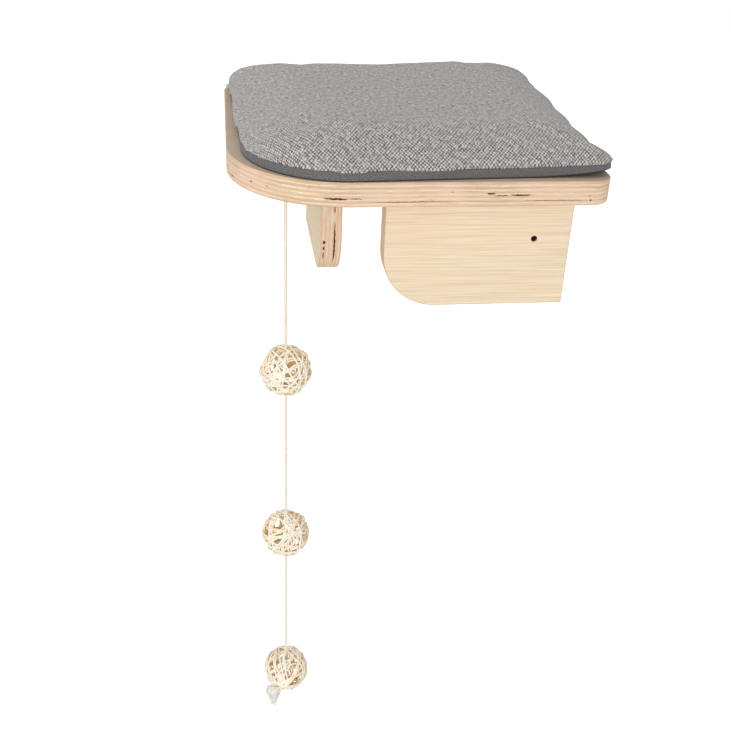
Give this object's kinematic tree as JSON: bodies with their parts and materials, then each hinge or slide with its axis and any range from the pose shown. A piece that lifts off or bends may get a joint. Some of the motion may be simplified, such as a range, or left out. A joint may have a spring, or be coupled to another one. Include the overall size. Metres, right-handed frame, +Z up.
{
  "type": "cat wall corner platform",
  "caption": "Corner shelf for cats: a plywood board on two wall brackets, with a removable cushion and a hanging string of rattan toy balls.",
  "frame": {"origin": "the line where the two walls meet, at the height of the board's underside", "axes": "+X out through the right wall, +Y out through the back wall, +Z up; walls are X=0 and Y=0"},
  "size_m": [0.3, 0.3, 0.6265],
  "materials": {
    "plywood": "bare sanded birch plywood, open layered edges",
    "steel": "plain turned steel tube",
    "dark_steel": "oiled black steel",
    "screw_steel": "zinc-plated",
    "hook_tape": "off-white hook tape",
    "loop_tape": "off-white loop tape",
    "base_fabric": "dark grey ribbed fabric",
    "cover_fabric": "coarse light woven fabric",
    "wadding": "white wadding",
    "cotton_cord": "off-white twisted cotton",
    "frayed_cotton": "loose off-white cotton fibres",
    "rattan": "bare split cane"
  },
  "bodies": {
    "root": {"platform_board": "plywood", "right_bracket": "plywood", "left_bracket": "plywood", "right_wall_socket": "steel", "left_wall_socket": "steel", "right_lock_screw": "dark_steel", "left_lock_screw": "dark_steel", "right_board_screws": "screw_steel", "left_board_screws": "screw_steel", "hook_pads": "hook_tape", "top_knot": "cotton_cord"},
    "cushion": {"cushion_base": "base_fabric", "cushion_filling": "wadding", "cushion_cover": "cover_fabric", "loop_pads": "loop_tape"},
    "swing_link": {"cord_mouth_stretch": "cotton_cord"},
    "upper_string": {"cord_stretch_1": "cotton_cord", "ball_knot_1": "cotton_cord"},
    "ball_1": {"rattan_ball_1": "rattan"},
    "middle_string": {"cord_stretch_2": "cotton_cord", "ball_knot_2": "cotton_cord"},
    "ball_2": {"rattan_ball_2": "rattan"},
    "lower_string": {"cord_stretch_3": "cotton_cord", "ball_knot_3": "cotton_cord", "frayed_tail": "frayed_cotton"},
    "ball_3": {"rattan_ball_3": "rattan"}
  },
  "joints": [
    {"name": "cushion_lift", "type": "slide", "parent": "root", "child": "cushion", "axis": [0, 0, 1], "range_m": [0, 0.1]},
    {"name": "toy_swing_side", "type": "hinge", "parent": "root", "child": "swing_link", "pos_m": [-0.254, -0.254, -0.0019], "axis": [0, 1, 0], "range_deg": [-25, 60]},
    {"name": "toy_swing_front", "type": "hinge", "parent": "swing_link", "child": "upper_string", "pos_m": [-0.254, -0.254, -0.0379], "axis": [1, 0, 0], "range_deg": [-60, 25]},
    {"name": "middle_bend", "type": "hinge", "parent": "upper_string", "child": "middle_string", "pos_m": [-0.254, -0.254, -0.1904], "axis": [0, 1, 0], "range_deg": [-30, 30]},
    {"name": "lower_bend", "type": "hinge", "parent": "middle_string", "child": "lower_string", "pos_m": [-0.254, -0.254, -0.3694], "axis": [1, 0, 0], "range_deg": [-30, 30]},
    {"name": "ball_1_spin", "type": "hinge", "parent": "upper_string", "child": "ball_1", "pos_m": [-0.254, -0.254, -0.1655], "axis": [0, 0, 1], "continuous": true},
    {"name": "ball_2_spin", "type": "hinge", "parent": "middle_string", "child": "ball_2", "pos_m": [-0.254, -0.254, -0.3445], "axis": [0, 0, 1], "continuous": true},
    {"name": "ball_3_spin", "type": "hinge", "parent": "lower_string", "child": "ball_3", "pos_m": [-0.254, -0.254, -0.5235], "axis": [0, 0, 1], "continuous": true}
  ]
}
